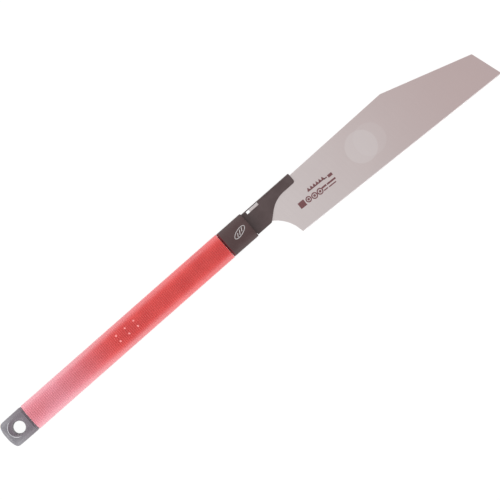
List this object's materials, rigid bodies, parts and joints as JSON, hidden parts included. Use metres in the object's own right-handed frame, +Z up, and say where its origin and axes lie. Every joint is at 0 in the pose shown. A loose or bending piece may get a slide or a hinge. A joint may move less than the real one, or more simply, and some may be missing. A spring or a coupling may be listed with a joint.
{
  "type": "pull saw",
  "caption": "Long-handled pull saw: a thin fine-toothed blade with a clipped back hooks into a folded steel holder on a straight, ribbed oval handle with a hang hole.",
  "frame": {"origin": "centre of the underside of the bounding box, with the saw lying flat on its handle", "axes": "+X from the butt of the handle to the blade's tip, +Y from the teeth to the blade's back, +Z up, square to the blade"},
  "size_m": [0.6026, 0.0672, 0.0205],
  "materials": {
    "blade_steel": "thin ground spring steel with a satin polish and fine hardened teeth",
    "black_coated_steel": "black baked coating on folded sheet, slightly worn along the fold",
    "bright_steel": "plain bright steel",
    "core_wood": "plain planed softwood, covered by the grip",
    "red_grip": "soft red elastomer moulded with fine cross ribs",
    "black_plastic": "moulded black plastic, satin",
    "grey_plastic": "moulded dark grey plastic, satin"
  },
  "bodies": {
    "handle": {"blade_holder": "black_coated_steel", "hook_pin": "bright_steel", "tongue_rivet_front": "bright_steel", "tongue_rivet_rear": "bright_steel", "handle_core": "core_wood", "grip_sleeve": "red_grip", "front_ferrule": "black_plastic", "butt_cap": "grey_plastic"},
    "blade": {"blade": "blade_steel"}
  },
  "joints": [
    {"name": "blade_swing", "type": "hinge", "parent": "handle", "child": "blade", "pos_m": [0.00675, 0.0228, 0.01], "axis": [0, 0, -1], "range_deg": [0, 20]}
  ]
}
